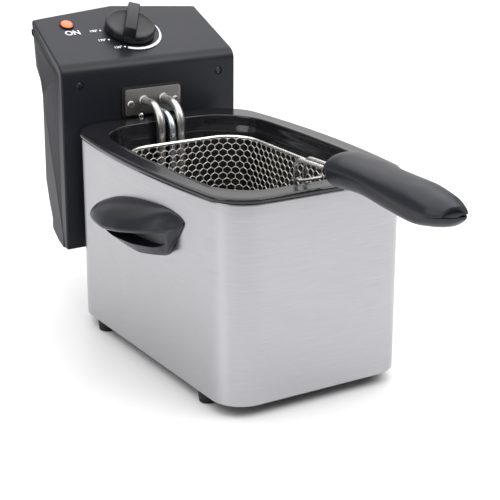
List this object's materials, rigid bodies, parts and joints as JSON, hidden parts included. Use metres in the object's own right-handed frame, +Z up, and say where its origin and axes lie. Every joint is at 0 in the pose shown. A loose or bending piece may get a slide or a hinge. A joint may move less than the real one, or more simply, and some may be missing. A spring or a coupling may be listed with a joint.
{
  "type": "deep fryer",
  "caption": "Compact electric deep fryer: brushed steel housing, lift-out enamelled bowl, lift-off control unit with immersed heating element, and a wire basket with a folding grip.",
  "frame": {"origin": "centre of the bounding box, at the bottom of the feet", "axes": "+Z up; -Y towards the front, where the basket's grip points; +Y towards the control unit; +X to the right seen from the front"},
  "size_m": [0.2162, 0.4798, 0.252],
  "materials": {
    "steel": "brushed stainless steel, horizontal grain",
    "chrome": "bright chromed wire",
    "element_steel": "satin stainless tube",
    "enamel": "glossy black non-stick enamel",
    "black_plastic": "fine satin black plastic",
    "grip_plastic": "satin black heat-proof plastic",
    "rubber": "matt black rubber",
    "lamp_lens": "translucent orange-red lens",
    "screw_steel": "plated steel screw",
    "brass": "turned brass",
    "ceramic": "white heat-proof ceramic"
  },
  "bodies": {
    "housing": {"steel_body": "steel", "base_plate": "black_plastic", "foot_front_left": "rubber", "foot_front_right": "rubber", "foot_rear_left": "rubber", "foot_rear_right": "rubber", "rim_seat": "black_plastic", "side_handle_left": "grip_plastic", "side_handle_right": "grip_plastic", "handle_screw_left_front": "screw_steel", "handle_screw_left_rear": "screw_steel", "handle_screw_right_front": "screw_steel", "handle_screw_right_rear": "screw_steel", "guide_rail_left": "black_plastic", "guide_rail_right": "black_plastic"},
    "bowl": {"oil_bowl": "enamel"},
    "control_unit": {"control_front_cover": "black_plastic", "control_rear_cover": "black_plastic", "cover_screw_left": "screw_steel", "cover_screw_right": "screw_steel", "element_plate": "element_steel", "plate_gasket": "rubber", "plate_screw_left": "screw_steel", "plate_screw_right": "screw_steel", "heating_element": "element_steel", "tube_collar_left": "element_steel", "tube_collar_right": "element_steel", "sensor_tube": "element_steel", "microswitch": "black_plastic", "thermostat": "ceramic", "indicator_lens": "lamp_lens", "neon_lamp": "ceramic", "thermal_cutout": "ceramic", "terminal_block": "ceramic", "cord_inlet": "rubber"},
    "knob": {"control_knob": "black_plastic", "knob_shaft": "brass"},
    "interlock": {"interlock_pin": "chrome"},
    "reset": {"reset_button": "lamp_lens"},
    "basket": {"basket_mesh": "chrome", "basket_rim_wire": "chrome", "basket_hook": "chrome", "handle_bracket": "element_steel"},
    "basket_handle": {"handle_wire": "chrome", "grip_upper": "grip_plastic", "grip_lower": "grip_plastic", "grip_screw_front": "screw_steel", "grip_screw_rear": "screw_steel"}
  },
  "joints": [
    {"name": "bowl_lift", "type": "slide", "parent": "housing", "child": "bowl", "axis": [0, 0, 1], "range_m": [0, 0.16]},
    {"name": "control_lift", "type": "slide", "parent": "bowl", "child": "control_unit", "axis": [0, 0, 1], "range_m": [0, 0.16]},
    {"name": "knob_turn", "type": "hinge", "parent": "control_unit", "child": "knob", "pos_m": [0, 0.20375, 0.2284], "axis": [0, -0.4226, 0.9063], "range_deg": [-70, 135]},
    {"name": "interlock_press", "type": "slide", "parent": "control_unit", "child": "interlock", "axis": [0, 1, 0], "range_m": [0, 0.003], "stiffness_N_per_m": 200},
    {"name": "reset_press", "type": "slide", "parent": "control_unit", "child": "reset", "axis": [0, -1, 0], "range_m": [0, 0.0015], "stiffness_N_per_m": 300},
    {"name": "basket_lift", "type": "slide", "parent": "control_unit", "child": "basket", "axis": [0, 0, 1], "range_m": [0, 0.13]},
    {"name": "handle_fold", "type": "hinge", "parent": "basket", "child": "basket_handle", "pos_m": [0, -0.05765, 0.147], "axis": [-1, 0, 0], "range_deg": [0, 110]}
  ]
}
